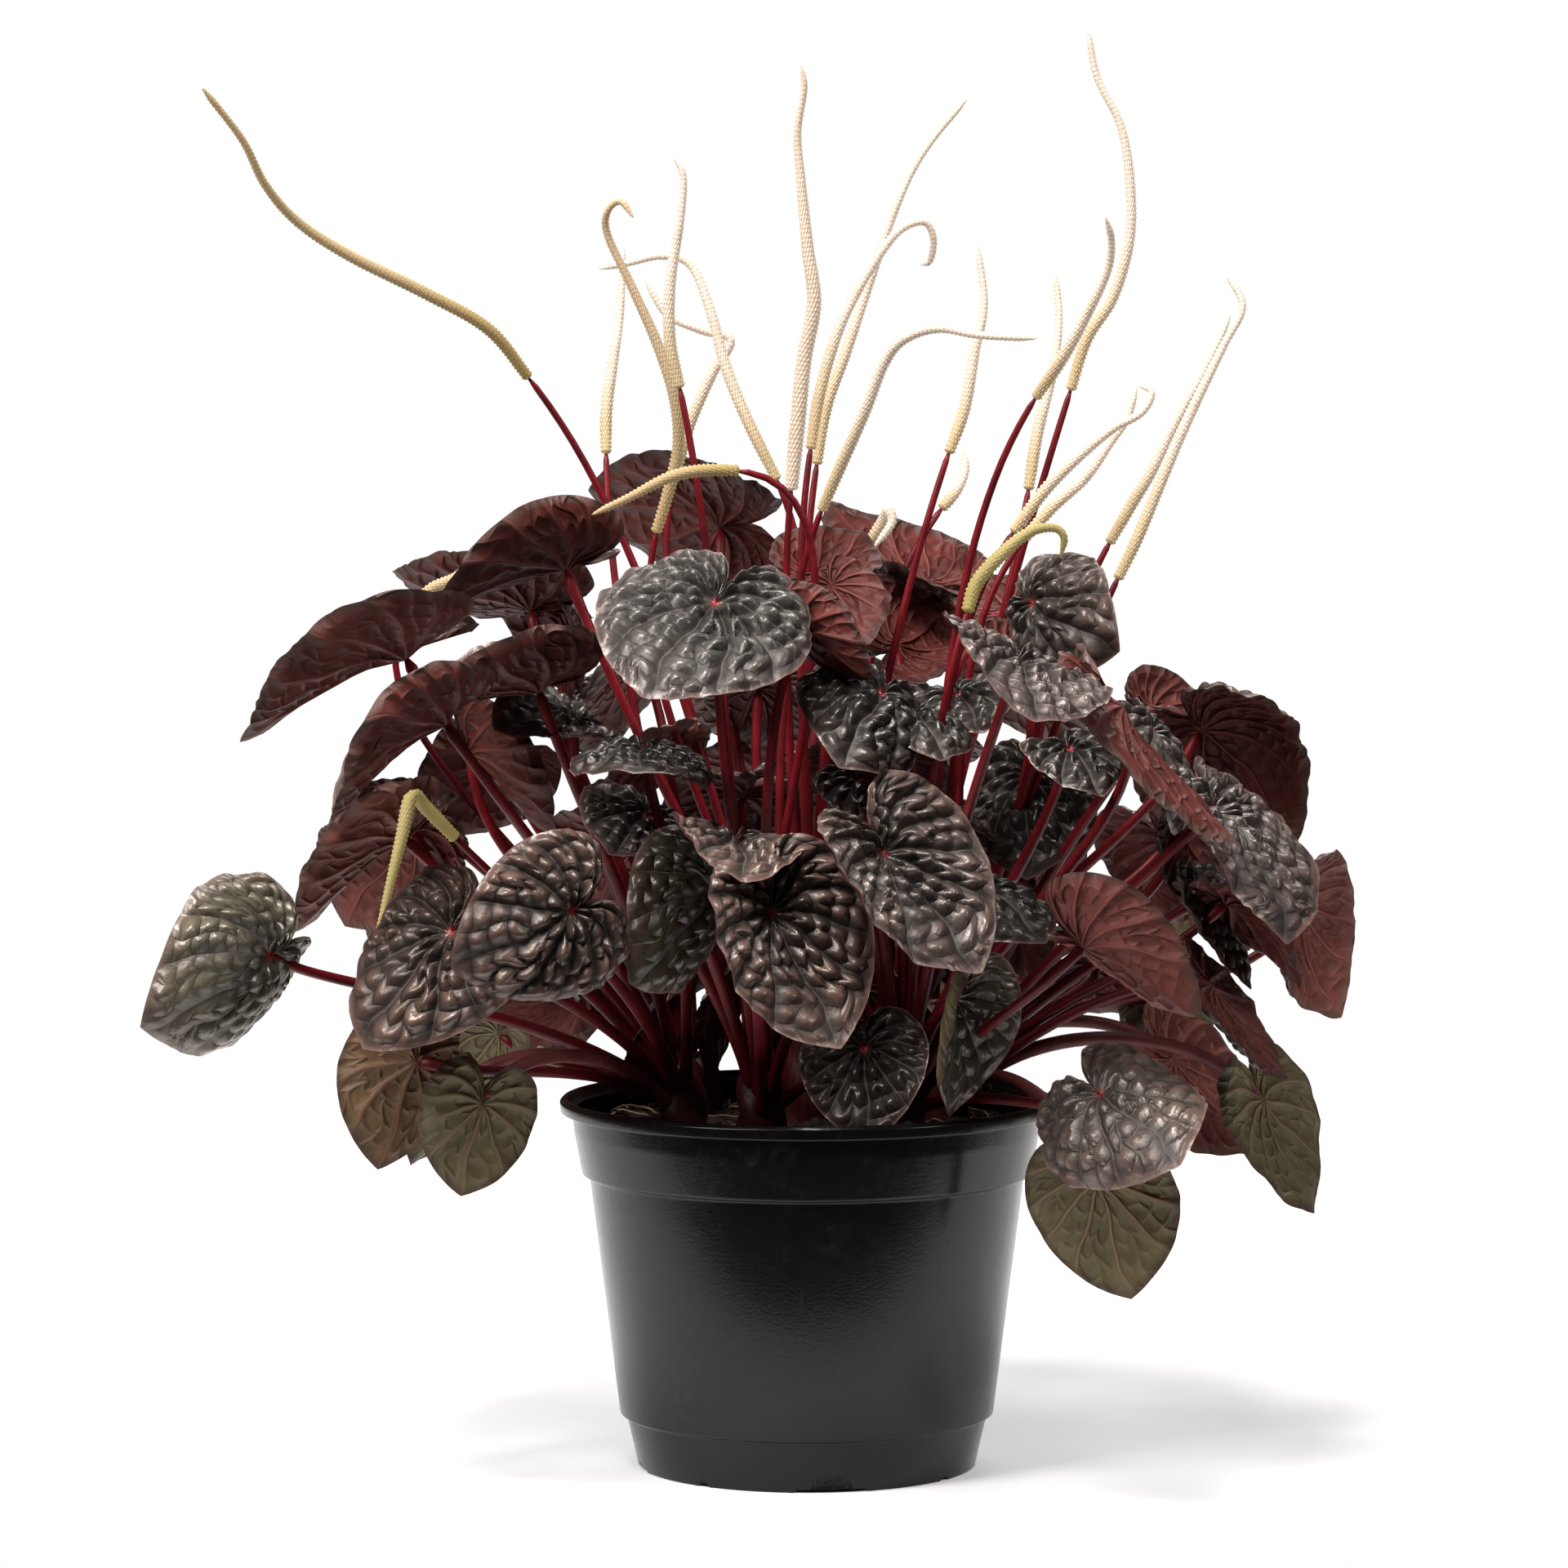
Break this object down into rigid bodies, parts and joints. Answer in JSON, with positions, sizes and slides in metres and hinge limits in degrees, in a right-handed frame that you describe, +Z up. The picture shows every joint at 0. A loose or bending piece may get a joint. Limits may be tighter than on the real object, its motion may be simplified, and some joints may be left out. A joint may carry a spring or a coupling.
{
  "type": "potted ripple peperomia",
  "caption": "Nursery pot of soil with a dense mound of rippled heart-shaped leaves on stalks and slender upright flower spikes.",
  "frame": {"origin": "centre of the pot's foot pad, on the ground", "axes": "+Z up, -Y towards the front, +X to the right of a viewer who looks along +Y"},
  "size_m": [0.3694, 0.2968, 0.4421],
  "materials": {
    "pot": "satin",
    "soil": "matte",
    "foliage": "satin",
    "flower": "matte"
  },
  "bodies": {
    "root": {"pot": "pot", "soil": "soil", "front_crown": "foliage", "front_spike_1": "flower", "front_spike_2": "flower", "front_spike_3": "flower", "front_right_crown": "foliage", "front_right_spike_1": "flower", "front_right_spike_2": "flower", "front_right_spike_3": "flower", "right_crown": "foliage", "right_spike_1": "flower", "right_spike_2": "flower", "right_spike_3": "flower", "back_right_crown": "foliage", "back_right_spike_1": "flower", "back_right_spike_2": "flower", "middle_crown": "foliage", "middle_spike_1": "flower", "middle_spike_2": "flower", "middle_spike_3": "flower", "middle_spike_4": "flower", "middle_spike_5": "flower", "middle_spike_6": "flower", "back_crown": "foliage", "back_spike_1": "flower", "back_spike_2": "flower", "back_spike_3": "flower", "back_spike_4": "flower", "back_left_crown": "foliage", "back_left_spike_1": "flower", "left_crown": "foliage", "left_spike_1": "flower", "left_spike_2": "flower"}
  },
  "joints": []
}
